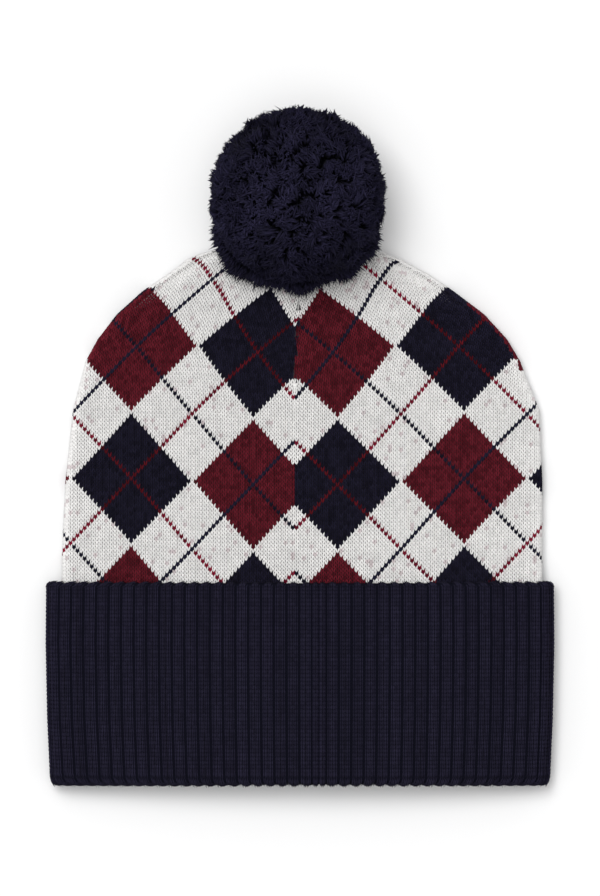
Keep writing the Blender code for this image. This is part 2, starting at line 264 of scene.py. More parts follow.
def yarn_finish(name, fibre_scale, fibre_bump, sheen, wander):
    """Matt yarn whose colour is stored on the mesh."""
    paint = Paint(name)
    fibres = paint.noise(fibre_scale, FIBRE_DETAIL)
    patches = paint.noise(fibre_scale / PATCH_COARSENESS, PATCH_DETAIL)
    level = 1.0 - wander + fibres * wander + patches * wander
    paint.feed("Base Color", paint.shaded(paint.tint(TINT_NAME), level))
    paint.feed("Roughness", 0.82 + fibres * 0.16)
    paint.feed("Normal", paint.bump(fibres, fibre_bump, FIBRE_HEIGHT))
    paint.feed("Sheen Weight", sheen)
    paint.feed("Sheen Roughness", 0.5)
    paint.feed("Specular IOR Level", 0.03)
    return paint.material


def plain_yarn(name, colour):
    """Matt yarn of one colour, for the hidden tie and, near black as painted shade, for what shows
    only between the stitches and tufts.
    """
    paint = Paint(name)
    fibres = paint.noise(INNER_FIBRES, FIBRE_DETAIL)
    paint.feed("Base Color", paint.shaded((*colour, 1.0), 0.7 + fibres * 0.6))
    paint.feed("Roughness", 0.9 + fibres * 0.08)
    paint.feed("Normal", paint.bump(fibres, 0.4, INNER_FIBRE_HEIGHT))
    paint.feed("Specular IOR Level", 0.02)
    return paint.material


CROWN_YARN = yarn_finish("crown_jacquard_yarn", 2600.0, 0.35, 0.006, 0.14)
CUFF_YARN = yarn_finish("cuff_rib_yarn", 2600.0, 0.4, 0.008, 0.3)
PLUSH_YARN = yarn_finish("pompom_plush_yarn", 1900.0, 0.5, 0.008, 0.3)
# The crown cloth's yarn, whose dark tint is partly painted shade between the stitches
CROWN_FLOATS_AND_SHADE = yarn_finish("crown_float_and_shade_yarn", INNER_FIBRES, 0.4, 0.0, 0.3)
# Near black, darker than the cuff's own navy yarn: painted shade in the grooves between the ribs
CUFF_SHADE = plain_yarn("cuff_groove_shade_yarn", (0.005, 0.005, 0.010))
# Near black, darker than the plush: painted shade in the gaps between the clumps
POMPOM_SHADE = plain_yarn("pompom_core_shade_yarn", (0.006, 0.005, 0.012))
TIE_YARN = plain_yarn("pompom_tie_yarn", (0.018, 0.018, 0.045))

floor_paint = Paint("white_sweep")
floor_grain = floor_paint.noise(FLOOR_GRAIN)
floor_paint.feed("Roughness", 0.75 + floor_grain * 0.1)
floor_paint.feed("Base Color", (0.88, 0.88, 0.882, 1.0))
floor_paint.feed("Specular IOR Level", 0.0)
floor.data.materials.append(floor_paint.material)
print("materials:", len(bpy.data.materials))

# %% [markdown]
# ## One stitch
#
# A knit stitch shows as a V of two legs of yarn. Each leg is a short spindle: a three-sided cone
# stub whose two ends are poked out to points. It is made once in a unit cell, which is one stitch
# wide and one stitch high, and then it is repeated over each cloth. The ribs and the underside,
# which lies on the floor, have plainer legs, with four sides and no stub between the points.

# %% Unit legs
# Length, width and lean of the left and of the right leg of a V, in cells. On the crown the right
# legs are longer and lean more than the left ones
CROWN_LEGS = ((1.36, 0.50, 0.26), (1.56, 0.57, 0.46))
CUFF_LEGS = ((2.30, 0.50, 0.08), (2.30, 0.50, 0.08))
STITCH_HEIGHT = 0.00095
# How far from the middle of a cell each leg stands
LEG_PLACE = 0.25
# A spindle is a stub with a point at each end, one unit long in all
STUB_LENGTH = 0.56
POINT_LENGTH = 0.22
# A three-sided stub is narrower than the circle round it, so it is widened
STUB_WIDENING = 1.12


def corners_and_faces(form):
    """Corners and faces of a finished bmesh of triangles, as arrays."""
    bmesh.ops.triangulate(form, faces=form.faces)
    bmesh.ops.recalc_face_normals(form, faces=form.faces)
    form.verts.ensure_lookup_table()
    corners = np.array([corner.co[:] for corner in form.verts])
    faces = np.array([[corner.index for corner in face.verts] for face in form.faces])
    form.free()
    return corners, faces


def spindle():
    """A leg of one unit's length along Y and one unit's width, with a flat back."""
    form = bmesh.new()
    bmesh.ops.create_cone(
        form, cap_ends=True, segments=3, radius1=0.5, radius2=0.5, depth=STUB_LENGTH
    )
    caps = [face for face in form.faces if abs(face.normal.z) > 0.9]
    bmesh.ops.poke(form, faces=caps, offset=POINT_LENGTH)
    corners, faces = corners_and_faces(form)
    # The cone stands on Z: its length goes to Y, and its ridge, which is at +Y, goes to Z
    turned = np.stack([corners[:, 0] * STUB_WIDENING, -corners[:, 2], corners[:, 1]], axis=1)
    return turned, faces


def plain_spindle():
    """A leg with two points and one ring of four corners."""
    form = bmesh.new()
    bmesh.ops.create_uvsphere(form, u_segments=4, v_segments=2, radius=0.5)
    corners, faces = corners_and_faces(form)
    return np.stack([corners[:, 0], -corners[:, 2], corners[:, 1]], axis=1), faces


def stitch_of(leg, shapes):
    """Both legs of a V in its unit cell: across and along in cells, height in metres."""
    corners, faces = leg
    halves = []
    for side, (length, width, lean) in zip((-1, 1), shapes):
        along = corners[:, 1] * length
        across = side * (LEG_PLACE + lean * corners[:, 1]) + corners[:, 0] * width
        halves.append(np.stack([across, along, corners[:, 2] * STITCH_HEIGHT], axis=1))
    return np.concatenate(halves), np.concatenate([faces, faces + len(corners)])


FULL_STITCH = stitch_of(spindle(), CROWN_LEGS)
PLAIN_STITCH = stitch_of(plain_spindle(), CROWN_LEGS)
print("triangles in a stitch:", len(FULL_STITCH[1]), "and", len(PLAIN_STITCH[1]))

# %% [markdown]
# ## Repeating a stitch over a cloth
#
# Every stitch has a middle, a vector across its cell, a vector along it, and the cloth's facing.
# One array product places all corners of all stitches, and one mesh holds them.


# %% Joined meshes from arrays
FLOOR_GAP = 0.0001


def dressed_piece(name, mesh, material):
    """An object of a finished mesh, with its material, on the hat's one body."""
    mesh.materials.append(material)
    piece = bpy.data.objects.new(name, mesh)
    bpy.context.collection.objects.link(piece)
    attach(piece, "root")
    return piece


def joined_mesh(name, corners, faces, tints, material, slot_name):
    """One object from arrays of corners and triangles, with a colour for each corner."""
    # The hat's own weight presses the stitches that it lies on flat
    corners[:, 2] = np.maximum(corners[:, 2], FLOOR_GAP)
    mesh = bpy.data.meshes.new(name)
    mesh.vertices.add(len(corners))
    mesh.vertices.foreach_set("co", corners.astype(np.float32).ravel())
    mesh.loops.add(faces.size)
    mesh.loops.foreach_set("vertex_index", faces.astype(np.int32).ravel())
    mesh.polygons.add(len(faces))
    mesh.polygons.foreach_set("loop_start", np.arange(0, faces.size, 3, dtype=np.int32))
    mesh.polygons.foreach_set("use_smooth", np.ones(len(faces), dtype=bool))
    mesh.update(calc_edges=True)
    tint = mesh.attributes.new(TINT_NAME, "FLOAT_COLOR", "POINT")
    opaque = np.concatenate([tints, np.ones((len(tints), 1))], axis=1)
    tint.data.foreach_set("color", opaque.astype(np.float32).ravel())
    print(name, len(faces), "triangles")
    return dressed_piece(name, mesh, material)


def repeated(unit, middles, across, along, facing, tints):
    """Corners, faces and colours of one unit shape at every place."""
    corners, faces = unit
    placed = (
        middles[:, None, :]
        + corners[None, :, 0:1] * across[:, None, :]
        + corners[None, :, 1:2] * along[:, None, :]
        + corners[None, :, 2:3] * facing[:, None, :]
    )
    steps = np.arange(len(middles))[:, None, None] * len(corners)
    all_tints = np.repeat(tints, len(corners), axis=0)
    return placed.reshape(-1, 3), (faces[None] + steps).reshape(-1, 3), all_tints


# %% [markdown]
# ## The crown's cloth
#
# The CAD crown has the right form, so a copy of it, moved in a little, is the cloth behind the
# stitches. It shows only as the dark specks between them, which are partly painted shade, and
# inside the hat.

# %% Backing cloths
CLOTH_INSET = 0.00035
SAME_PLACE = 0.00001


def backing_of(node_name, piece_name, inset, material):
    """A copy of a CAD node, merged and moved in along its facings."""
    form = bmesh.new()
    form.from_mesh(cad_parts[node_name].data)
    bmesh.ops.remove_doubles(form, verts=form.verts, dist=SAME_PLACE)
    form.normal_update()
    moves = [corner.normal * inset for corner in form.verts]
    for corner, move in zip(form.verts, moves):
        corner.co -= move
    mesh = bpy.data.meshes.new(piece_name)
    form.to_mesh(mesh)
    form.free()
    mesh.shade_smooth()
    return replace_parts(dressed_piece(piece_name, mesh, material), node_name)


crown_cloth = backing_of("crown", "crown_cloth", CLOTH_INSET, CROWN_FLOATS_AND_SHADE)
# The cuff's band is painted near black: painted shade where it shows in the grooves between the ribs
cuff_band = backing_of("cuff", "cuff_band", CLOTH_INSET, CUFF_SHADE)

crown_form = bmesh.new()
crown_form.from_mesh(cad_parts["crown"].data)
crown_surface = BVHTree.FromBMesh(crown_form)
crown_form.free()
print("crown cloth faces:", len(crown_cloth.data.polygons))

# %% [markdown]
# ## Where the crown's stitches lie
#
# The cloth was knitted as a flat chart and then cut and sewn. Columns of stitches run from the
# cuff to the tip, and courses run round the hat. Across the back they keep an even pitch right up
# to the side folds. The back seam cuts the chart, and above the shoulders the columns lean in
# towards that seam, so more and more of them end in it.
#
# Chart columns count from the middle of the leftmost diamonds, and chart courses count down from
# the middle of the upper row of diamonds. Places are in pixels of the photograph until the end.

# %% The crown's chart in the photograph
REPEAT = 34
DIAMOND_REACH = 16
COURSES_TO_CUFF = 64
COURSES_TO_TIP = 29
LEFT_CHART_X = 131.3
LEFT_PITCH = 3.588
RIGHT_CHART_X = 337.4
RIGHT_PITCH = 3.723
RIGHT_CHART_COLUMN = 2 * REPEAT
# The chart meets itself again after four pairs of diamonds round the hat
CHART_ROUND = 8 * REPEAT
# The last column left of the seam, and how many columns the seam has swallowed everywhere
SEAM_CHART_COLUMN = 47
SEWN_COLUMNS = 2
# The back seam's line, as pixel rows and columns
SEAM_LINE = ((230.0, 299.5), (300.0, 299.0), (340.0, 296.5), (400.0, 294.0), (600.0, 294.0))
# Heights in the photograph of the courses through the middles of the upper and the lower row of
# diamonds, after the share of the way from the back seam to a side fold
COURSE_LINES = (
    (0.00, 355.0, 485.0),
    (0.19, 352.2, 484.3),
    (0.46, 346.0, 481.0),
    (0.74, 345.8, 477.8),
    (1.00, 350.0, 478.5),
)
LEAN_START = 420.0
LEAN_RATE = 0.00102
FOLD_COLUMNS = 4
FOLD_MARGIN = 0.0012
# How near to the seam a stitch's middle may come, in stitches
SEAM_GAP = 0.12
# A stitch's lean depends on its height and its height on its lean, so both are found in rounds
PLACE_ROUNDS = 4
# Where rays start, well outside the crown, and how high the ones from the side run
BESIDE = 0.2
ABOVE = 0.1
BELOW = -0.05
SIDE_RAY_HEIGHT = 0.0065


def column_of(table, column):
    """One named column of a table, as an array."""
    return np.array([row[column] for row in table])


def course_height(share, course):
    """Pixel row of a course at a share of the way from the seam to the side fold."""
    shares = column_of(COURSE_LINES, 0)
    upper = np.interp(share, shares, column_of(COURSE_LINES, 1))
    lower = np.interp(share, shares, column_of(COURSE_LINES, 2))
    return upper + course / REPEAT * (lower - upper)


def seam_at(pixel_y):
    """Pixel column of the back seam."""
    return np.interp(pixel_y, column_of(SEAM_LINE, 0), column_of(SEAM_LINE, 1))


def lean_at(pixel_y):
    """How far the columns lean in towards the seam, in pixels."""
    return LEAN_RATE * np.clip(LEAN_START - pixel_y, 0.0, None) ** 2


def reach_to_side(y, side):
    """Half width of the crown's outline at a place along the hat."""
    start = Vector((side * BESIDE, y, SIDE_RAY_HEIGHT))
    hit, _, _, _ = crown_surface.ray_cast(start, Vector((-side, 0.0, 0.0)))
    return hit.x if hit else 0.0


COURSES = np.arange(COURSES_TO_CUFF, -COURSES_TO_TIP - 1, -1)
CHART_COLUMNS = SEAM_CHART_COLUMN - np.arange(CHART_ROUND - SEWN_COLUMNS)
side_rows = course_height(1.0, COURSES)
left_edge = pixel_column(np.array([reach_to_side(hat_y(row), -1) for row in side_rows]))
right_edge = pixel_column(np.array([reach_to_side(hat_y(row), 1) for row in side_rows]))
print("crown edges at the cuff:", left_edge[0].round(1), right_edge[0].round(1))


# %% [markdown]
# Each course is walked once round the hat: along the back from the seam to the left fold, down
# that fold, along the underside, up the right fold and back to the seam. The underside isn't in
# the photograph. It carries the same chart, with just the pitch that lets the two sides meet.


# %% Place stitches on the back
def back_place(column, course, edge, side):
    """Pixel place of one stitch on the back, leaning in as it rises."""
    if side < 0:
        start = LEFT_CHART_X + column * LEFT_PITCH
    else:
        start = RIGHT_CHART_X + (column - RIGHT_CHART_COLUMN) * RIGHT_PITCH
    x = start
    y = course_height(0.5, course)
    for _ in range(PLACE_ROUNDS):
        x = start - side * lean_at(y)
        seam = seam_at(y)
        y = course_height(np.clip((x - seam) / (edge - seam), 0.0, 1.0), course)
    return x, y


def column_at_edge(x, y, side):
    """Chart column that reaches a pixel place next to a side fold."""
    if side < 0:
        return (x - lean_at(y) - LEFT_CHART_X) / LEFT_PITCH
    return RIGHT_CHART_COLUMN + (x + lean_at(y) - RIGHT_CHART_X) / RIGHT_PITCH


# %% Find places on the crown's surface
def dropped_on(x, y, above):
    """Where a vertical line meets the crown's outer face."""
    start = Vector((x, y, ABOVE if above else BELOW))
    hit, _, _, _ = crown_surface.ray_cast(start, Vector((0.0, 0.0, -1.0 if above else 1.0)))
    return hit


def fold_place(x, y, side, share):
    """A place on a side fold, at a share of the way down it."""
    top = dropped_on(x, y, True)
    low = dropped_on(x, y, False)
    if top is None or low is None:
        return None
    start = Vector((side * BESIDE, y, top.z + (low.z - top.z) * share))
    hit, _, _, _ = crown_surface.ray_cast(start, Vector((-side, 0.0, 0.0)))
    return hit


# %% Walk round one course
def walk_course(number):
    """Middles of all stitches of one course, and which of them exist."""
    course = COURSES[number]
    margin = FOLD_MARGIN / PIXEL
    side_row = side_rows[number]
    left = left_edge[number] + margin
    right = right_edge[number] - margin
    left_column = column_at_edge(left, side_row, -1)
    right_column = column_at_edge(right, side_row, 1)
    under_start = left_column - FOLD_COLUMNS
    under_end = right_column + FOLD_COLUMNS - CHART_ROUND
    half = LEFT_PITCH * SEAM_GAP
    middles = np.zeros((len(CHART_COLUMNS), 3))
    present = np.zeros(len(CHART_COLUMNS), dtype=bool)
    under = np.zeros(len(CHART_COLUMNS), dtype=bool)
    for at, column in enumerate(CHART_COLUMNS):
        around = column + CHART_ROUND
        sewn = False
        if column >= left_column:
            x, y = back_place(column, course, left_edge[number], -1)
            sewn = x > seam_at(y) - half
            spot = dropped_on(hat_x(x), hat_y(y), True)
        elif column > under_start:
            share = (left_column - column) / FOLD_COLUMNS
            spot = fold_place(hat_x(left), hat_y(side_row), -1, share)
        elif column >= under_end:
            share = (under_start - column) / (under_start - under_end)
            x = left + (right - left) * share
            y = course_height(abs(2 * share - 1), course)
            spot = dropped_on(hat_x(x), hat_y(y), False)
            under[at] = True
        elif around > right_column:
            share = (around - right_column) / FOLD_COLUMNS
            spot = fold_place(hat_x(right), hat_y(side_row), 1, share)
        else:
            x, y = back_place(around, course, right_edge[number], 1)
            sewn = x < seam_at(y) + half
            spot = dropped_on(hat_x(x), hat_y(y), True)
        if spot is not None:
            middles[at] = spot
            present[at] = not sewn
    return middles, present, under


walked = [walk_course(number) for number in range(len(COURSES))]
crown_middles = np.array([course[0] for course in walked])
crown_present = np.array([course[1] for course in walked])
crown_under = np.array([course[2] for course in walked])
print("crown stitches:", int(crown_present.sum()))

# %% [markdown]
# ## The argyle
#
# The chart repeats every 34 stitches both ways. A stitch belongs to a diamond when its distances
# across and along from the nearest diamond's middle add up to no more than 16. Diamonds take
# turns in burgundy and navy both ways. One-stitch lines cross every diamond's middle from corner
# to corner, and each runs on over the white ground in the colour that its diamonds don't have.

# %% Colours of the chart
WHITE = (0.86, 0.85, 0.84)
BURGUNDY = (0.115, 0.0115, 0.0198)
NAVY = (0.0115, 0.0105, 0.0225)
# Lines of single stitches look brighter than a field, as light comes in from their white sides
LINE_BURGUNDY = (0.200, 0.010, 0.030)
# Burgundy lines inside navy diamonds get a darker copy of the line colour: painted shade, as no
# light comes in from white sides
SHADED_LINE_BURGUNDY = (0.100, 0.007, 0.012)
LINE_NAVY = (0.012, 0.012, 0.026)
# A few white stitches let the coloured floats behind them through
TINGED = (0.70, 0.63, 0.64)
TINGED_SHARE = 0.05
# Every channel of the white yarns is above this, and every dyed yarn has one below it
WHITE_GROUND = 0.3
# How far each stitch's brightness wanders
DYED_WANDER = 0.36
WHITE_WANDER = 0.06


def argyle_tints(columns, courses, chance):
    """Yarn colour of every stitch of the chart."""
    nearest_column = np.round(columns / REPEAT).astype(int)
    nearest_course = np.round(courses / REPEAT).astype(int)
    across = columns - REPEAT * nearest_column
    along = courses - REPEAT * nearest_course
    inside = np.abs(across) + np.abs(along) <= DIAMOND_REACH
    burgundy_turn = (nearest_column + nearest_course) % 2 == 0
    rising = (columns + courses) % REPEAT == 0
    falling = (columns - courses) % REPEAT == 0
    rising_burgundy = ((columns + courses) // REPEAT) % 2 != 0
    falling_burgundy = ((columns - courses) // REPEAT) % 2 != 0
    tints = np.empty(columns.shape + (3,))
    tints[:] = WHITE
    tints[chance.random(columns.shape) < TINGED_SHARE] = TINGED
    tints[inside & burgundy_turn] = BURGUNDY
    tints[inside & ~burgundy_turn] = NAVY
    tints[falling & falling_burgundy] = LINE_BURGUNDY
    tints[falling & ~falling_burgundy] = LINE_NAVY
    tints[rising & rising_burgundy] = LINE_BURGUNDY
    tints[rising & ~rising_burgundy] = LINE_NAVY
    # Burgundy lines through navy diamonds take the painted-shade copy of the line colour
    tints[inside & ~burgundy_turn & (rising | falling)] = SHADED_LINE_BURGUNDY
    dyed = tints.min(axis=2, keepdims=True) < WHITE_GROUND
    wander = chance.uniform(-1.0, 1.0, columns.shape)[..., None]
    return tints * (1 + wander * np.where(dyed, DYED_WANDER, WHITE_WANDER))


chance = np.random.default_rng(7)
chart_column, chart_course = np.meshgrid(CHART_COLUMNS, COURSES)
crown_tints = argyle_tints(chart_column, chart_course, chance)
print("chart:", len(COURSES), "courses of", len(CHART_COLUMNS), "stitches")

# %% [markdown]
# At the shoulders the side panels show as slivers beside the folds: white ones at the top, navy
# ones below them, and a thin burgundy one on the right. The navy ones cover only the white ground.

# %% Slivers beside the shoulders
# Side, first and last pixel row, width in pixels, tint, and whether it covers the diamonds too
SLIVERS = (
    (-1, 200.0, 286.0, 3.5, WHITE, True),
    (1, 200.0, 284.0, 3.5, WHITE, True),
    (-1, 286.0, 324.0, 9.0, NAVY, False),
    (1, 301.0, 372.0, 1.9, BURGUNDY, True),
    (1, 289.0, 350.0, 9.0, NAVY, False),
)
pixel_x = pixel_column(crown_middles[..., 0])
pixel_y = pixel_row(crown_middles[..., 1])
for side, from_y, to_y, width, tint, covers_all in SLIVERS:
    edge = (left_edge if side < 0 else right_edge)[:, None]
    beside = (side * (edge - pixel_x) < width) & (pixel_y > from_y) & (pixel_y < to_y)
    if not covers_all:
        beside &= crown_tints.min(axis=2) > WHITE_GROUND
    beside &= ~crown_under
    crown_tints[beside] = tint
    print("sliver of", int(beside.sum()), "stitches")

# %% [markdown]
# A stitch's cell reaches half way to its neighbours. The stitches sink a little into the cloth, and
# those of the underside are lifted, so that they don't reach through the floor.


# %% Cells of the crown's stitches
STITCH_SINK = 0.00012
UNDER_LIFT = 0.00055
# A stitch whose neighbours aren't there, or that is stretched over a corner, has no true cell
WIDEST_CELL = 0.006
LONGEST_CELL = 0.010


def cell_vectors(middles):
    """Vectors across and along each stitch's cell, and the cloth's facing."""
    across = -np.gradient(middles, axis=1)
    along = np.gradient(middles, axis=0)
    facing = np.cross(across, along)
    facing /= np.linalg.norm(facing, axis=2, keepdims=True) + 1e-12
    return across, along, facing


across, along, facing = cell_vectors(crown_middles)
lifted = crown_middles - facing * STITCH_SINK
lifted[..., 2] += np.where(crown_under, UNDER_LIFT, 0.0)
narrow = np.linalg.norm(across, axis=2) < WIDEST_CELL
short = np.linalg.norm(along, axis=2) < LONGEST_CELL
whole = crown_present & narrow & short
print("crown stitches with a true cell:", int(whole.sum()))

# %% Stitch the crown
left_half = chart_column > CHART_COLUMNS[len(CHART_COLUMNS) // 2]
CROWN_PARTS = {
    "crown_back_left": (whole & ~crown_under & left_half, FULL_STITCH),
    "crown_back_right": (whole & ~crown_under & ~left_half, FULL_STITCH),
    "crown_front": (whole & crown_under, PLAIN_STITCH),
}
for part_name, (chosen, unit) in CROWN_PARTS.items():
    cells = [vectors[chosen] for vectors in (lifted, across, along, facing, crown_tints)]
    joined_mesh(part_name, *repeated(unit, *cells), CROWN_YARN, "crown_knit")

# %% [markdown]
# The navy lines that rise to the right look unbroken in the photograph, as each stitch's right leg
# runs into the next stitch. A strand from stitch to stitch joins them.

# %% Strands of the rising navy lines
STRAND_WIDTH = 0.0018
STRAND_LENGTH = 1.30
STRAND_LIFT = 0.00010
STRAND_LEVELS = (0.8, 1.1)

line_number, off_line = np.divmod(chart_column + chart_course, REPEAT)
rising_navy = whole & ~crown_under & (off_line == 0) & (line_number % 2 == 0)
joined = rising_navy[:-1, 1:] & rising_navy[1:, :-1]
strand_from = lifted[:-1, 1:][joined]
strand_step = lifted[1:, :-1][joined] - strand_from
strand_facing = facing[:-1, 1:][joined]
strand_across = np.cross(strand_step, strand_facing)
strand_across *= STRAND_WIDTH / np.linalg.norm(strand_across, axis=1, keepdims=True)
strand_corners, strand_faces = spindle()
strand = (strand_corners * (1.0, STRAND_LENGTH, STITCH_HEIGHT), strand_faces)
strand_middles = strand_from + strand_step / 2 + strand_facing * STRAND_LIFT
strand_tints = np.array(LINE_NAVY) * chance.uniform(*STRAND_LEVELS, (len(strand_step), 1))
strand_cells = (strand_middles, strand_across, strand_step, strand_facing, strand_tints)
strand_arrays = repeated(strand, *strand_cells)
joined_mesh("crown_line_strands", *strand_arrays, CROWN_YARN, "crown_knit")

# %% [markdown]
# Behind the stitches the cloth is dark, with the floats of all three colours; its dark tint is also
# painted shade in the gaps between the stitches. Where it turns over a fold it has the colour of the
# stitches in front of it, darkened a little as painted shade, so that no dark rim shows between
# them.

# %% Tint the cloth behind the stitches
# Dark tint of the cloth behind the stitches: partly its floats, partly painted shade in the gaps. At
# the folds the nearest stitch's colour is darkened to a share, as painted shade
FLOAT_AND_SHADE_TINT = (0.032, 0.026, 0.032)
FOLD_FACING = 0.8
FOLD_SHADE_SHARE = 0.75

stitch_places = crown_middles[whole]
stitch_tints = crown_tints[whole]
stitch_tree = KDTree(len(stitch_places))
for number, place in enumerate(stitch_places):
    stitch_tree.insert(place, number)
stitch_tree.balance()


def shaded_tint_near(place, share):
    """Colour of the nearest stitch, darkened to a share as painted shade."""
    return stitch_tints[stitch_tree.find(place)[1]] * share


cloth_tint = crown_cloth.data.attributes.new(TINT_NAME, "FLOAT_COLOR", "POINT")
for corner in crown_cloth.data.vertices:
    turned_over = abs(corner.normal.z) < FOLD_FACING
    tint = shaded_tint_near(corner.co, FOLD_SHADE_SHARE) if turned_over else FLOAT_AND_SHADE_TINT
    cloth_tint.data[corner.index].color = (*tint, 1.0)
print("tinted corners of the cloth:", len(cloth_tint.data))

# %% [markdown]
# ## The back seam
#
# The seam is a narrow valley in which the two cut edges meet. A flat thread lies at its bottom, one
# short spindle for each course, in the colour of the cloth dimmed as painted shade of the valley. It
# closes the places where the edges' last stitches lie too far apart to touch.

# %% Seam thread
# The thread takes the nearest stitch's colour at half brightness: painted shade of the seam's valley
SEAM_SHADE_SHARE = 0.5
SEAM_THREAD_WIDTH = 0.0015
SEAM_THREAD_HEIGHT = 0.0006
SEAM_THREAD_SINK = 0.00035
# How much longer than their spacing the spindles are
SEAM_THREAD_OVERLAP = 1.35
# First and last pixel row of the thread, its spacing, and how far it strays, all in pixels
SEAM_TOP_ROW = 250.0
SEAM_END_ROW = 590.0
SEAM_ROW_STEP = 3.84
SEAM_STRAY = 0.3

seam_rows = np.arange(SEAM_TOP_ROW, SEAM_END_ROW, SEAM_ROW_STEP)
seam_middles = np.array([
    dropped_on(hat_x(seam_at(row) + SEAM_STRAY * math.sin(row)), hat_y(row), True)
    for row in seam_rows
])
seam_middles[:, 2] -= SEAM_THREAD_SINK
thread_corners, thread_faces = spindle()
thread = (thread_corners * (1.0, SEAM_THREAD_OVERLAP, SEAM_THREAD_HEIGHT), thread_faces)
seam_across = np.tile((SEAM_THREAD_WIDTH, 0.0, 0.0), (len(seam_rows), 1))
seam_along = -np.gradient(seam_middles, axis=0)
seam_facing = np.tile((0.0, 0.0, 1.0), (len(seam_rows), 1))
seam_shaded_tints = np.array([shaded_tint_near(place, SEAM_SHADE_SHARE) for place in seam_middles])
seam_arrays = repeated(thread, seam_middles, seam_across, seam_along, seam_facing, seam_shaded_tints)
joined_mesh("crown_back_seam", *seam_arrays, CROWN_YARN, "crown_knit")

# %% [markdown]
# ## The ribbed cuff
#
# The cuff is one band, turned up at the rim. It has 84 ribs, and each shows three columns of
# stitches: the middle one on the rib's back and one down each flank into the groove. The two ribs
# at the band's own seam are half cut away. The rings repeat the CAD's section from its named
# sizes, because a place on a rib is easier to work out than to find.

# %% The cuff's section
CUFF_WIDTH = 0.225
CUFF_HEIGHT = 0.0898
CUFF_THICKNESS = 0.0245
CUFF_SIDE_THICKNESS = 0.0162
RIB_COUNT = 84
RIB_RELIEF = 0.0011
CUFF_SEAM_X = 0.0084
SEAM_RIB_SHARE = 0.55
SIDE_ROUND = 0.52
FOLD_RADIUS = 0.0034
RIM_Y = CAD_BOX[0][1]
CUFF_TOP_Y = RIM_Y + CUFF_HEIGHT
FOLD_Y = RIM_Y + FOLD_RADIUS
# Share of the cuff's height, and the shares of its width and thickness there
CUFF_SHAPE = ((0.00, 0.982, 0.96), (0.33, 0.994, 1.00), (0.70, 1.000, 1.00), (1.00, 0.998, 0.97))
CUFF_COURSE = 0.00175
TOP_EDGE_ROUND = 0.0017
SECTION_STEPS = 400
FACING_STEP = 0.0004
# Each column of stitches on a rib: from and to across the rib, and how deep each edge lies
RIB_WALES = ((0.08, 0.36, 0.88, 0.10), (0.36, 0.64, 0.04, 0.04), (0.64, 0.92, 0.10, 0.88))
# The top edge dips at each groove, and the dip fades out below it
TOP_DIP = 0.0011
TOP_DIP_FADE = 0.0035


def cuff_outline(y, inset):
    """Closed outline of the cuff at a height, from its middle towards +X, moved in."""
    height = (y - RIM_Y) / CUFF_HEIGHT
    heights = column_of(CUFF_SHAPE, 0)
    half = np.interp(height, heights, column_of(CUFF_SHAPE, 1)) * CUFF_WIDTH / 2 - inset
    high = np.interp(height, heights, column_of(CUFF_SHAPE, 2)) * CUFF_THICKNESS - inset
    dome = CUFF_THICKNESS - CUFF_SIDE_THICKNESS
    side_half = (high - dome - inset) / 2
    side_middle = (high - dome + inset) / 2
    reach = SIDE_ROUND * 2 * side_half
    flat = half - reach
    top = np.linspace(0.0, flat, SECTION_STEPS)
    turn = np.linspace(math.pi / 2, -math.pi / 2, SECTION_STEPS // 4)
    side_x = flat + reach * np.cos(turn)
    side_z = side_middle + side_half * np.sin(turn)
    under = np.linspace(flat, -flat, SECTION_STEPS)
    x = np.concatenate([top, side_x, under, -side_x[::-1], -top[::-1]])
    top_z = high - dome * (top / flat) ** 2
    z = np.concatenate([top_z, side_z, np.full(SECTION_STEPS, inset), side_z[::-1], top_z[::-1]])
    return x, z


# %% Ribs round the cuff
def rib_starts():
    """Start and width of every rib, as shares of the way round from the cuff's seam."""
    widths = np.ones(RIB_COUNT)
    widths[0] = SEAM_RIB_SHARE
    widths[-1] = SEAM_RIB_SHARE
    total = widths.sum()
    return np.concatenate([[0.0], np.cumsum(widths)[:-1]]) / total, widths / total


def cuff_ring(y, inset, shares):
    """Places on the cuff's outline at shares of the way round, and which way each faces."""
    x, z = cuff_outline(y, inset)
    lengths = np.concatenate([[0.0], np.cumsum(np.hypot(np.diff(x), np.diff(z)))])
    places = (CUFF_SEAM_X + shares * lengths[-1]) % lengths[-1]
    ahead = (places + FACING_STEP) % lengths[-1]
    ring = np.stack([np.interp(places, lengths, x), np.interp(places, lengths, z)], axis=1)
    tangent = np.stack([np.interp(ahead, lengths, x), np.interp(ahead, lengths, z)], axis=1) - ring
    tangent /= np.linalg.norm(tangent, axis=1, keepdims=True)
    return ring, np.stack([-tangent[:, 1], tangent[:, 0]], axis=1)


# %% One course of the cuff
def cuff_course(y, turn):
    """Both edges of every stitch of one course. turn goes from 0 on the face round the rim."""
    starts, widths = rib_starts()
    to_top = min(max(CUFF_TOP_Y - y, 0.0), TOP_EDGE_ROUND)
    rounding = TOP_EDGE_ROUND - math.sqrt(TOP_EDGE_ROUND**2 - (TOP_EDGE_ROUND - to_top) ** 2)
    inset = FOLD_RADIUS * (1 - math.cos(turn)) + rounding
    sunk = RIB_RELIEF * math.cos(turn)
    dip = TOP_DIP * max(1 - (CUFF_TOP_Y - y) / TOP_DIP_FADE, 0.0) * math.cos(turn)
    lift = RIB_RELIEF * math.sin(turn) - dip
    edges = []
    for from_across, to_across, from_depth, to_depth in RIB_WALES:
        for rib_across, depth in ((from_across, from_depth), (to_across, to_depth)):
            ring, outward = cuff_ring(y, inset, starts + rib_across * widths)
            ring = ring - outward * sunk * depth
            row = np.full(RIB_COUNT, y + lift * depth)
            edges.append(np.stack([ring[:, 0], row, ring[:, 1]], axis=1))
    return np.stack(edges, axis=1).reshape(RIB_COUNT * len(RIB_WALES), 2, 3)


